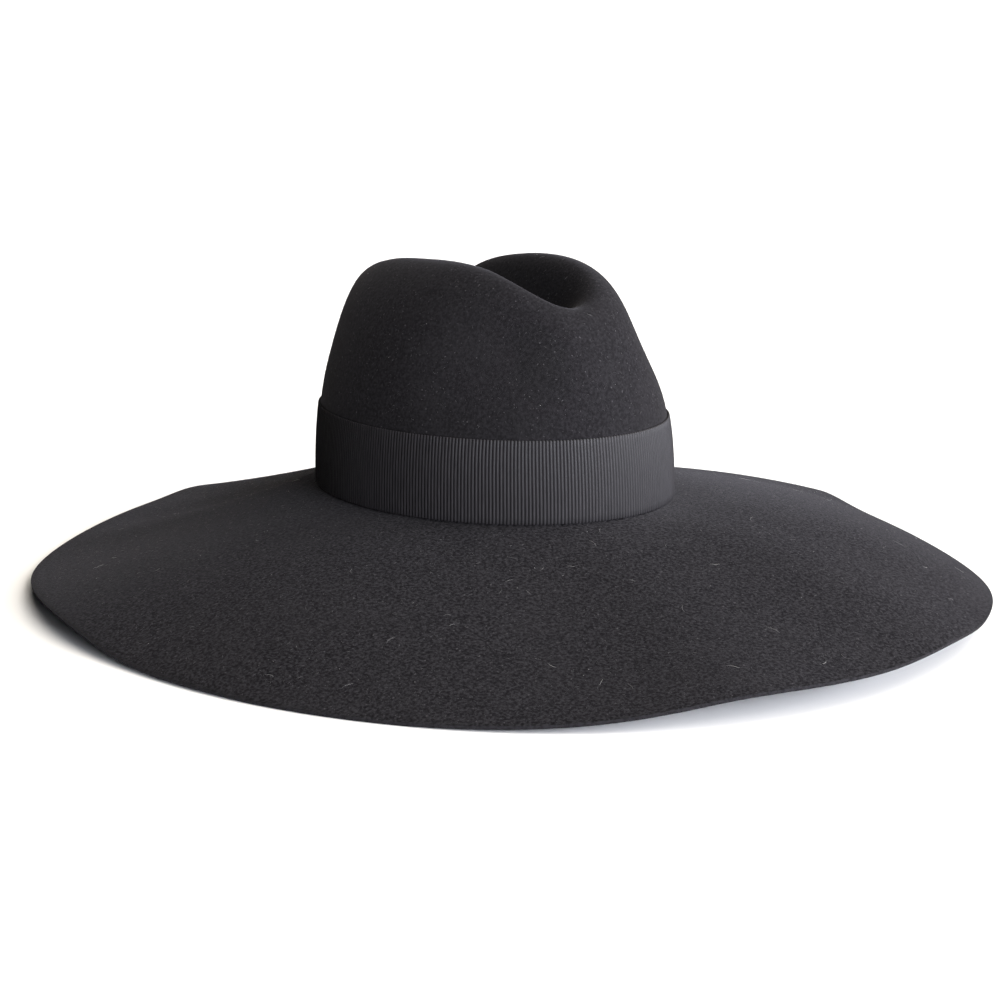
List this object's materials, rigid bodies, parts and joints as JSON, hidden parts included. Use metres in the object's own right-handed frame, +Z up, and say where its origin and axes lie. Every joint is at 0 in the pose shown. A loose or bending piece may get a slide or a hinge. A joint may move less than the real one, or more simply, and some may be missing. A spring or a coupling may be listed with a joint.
{
  "type": "wide-brim felt hat",
  "caption": "Wide-brim black felt hat with a centre-dent crown, a softly drooping raw-edged brim and a broad grosgrain ribbon band.",
  "frame": {"origin": "on the surface that the brim's edge rests on, under the middle of the hat's bounding box", "axes": "+Z up through the crown, -Y towards the front of the hat, +X towards the wearer's left"},
  "size_m": [0.4756, 0.5224, 0.1744],
  "materials": {
    "wool_felt": "matt brushed wool felt, black, with fine pale lint",
    "grosgrain_ribbon": "ribbed grosgrain ribbon, black, with a dull satin sheen"
  },
  "bodies": {
    "root": {"felt_body": "wool_felt", "hat_band": "grosgrain_ribbon"}
  },
  "joints": []
}
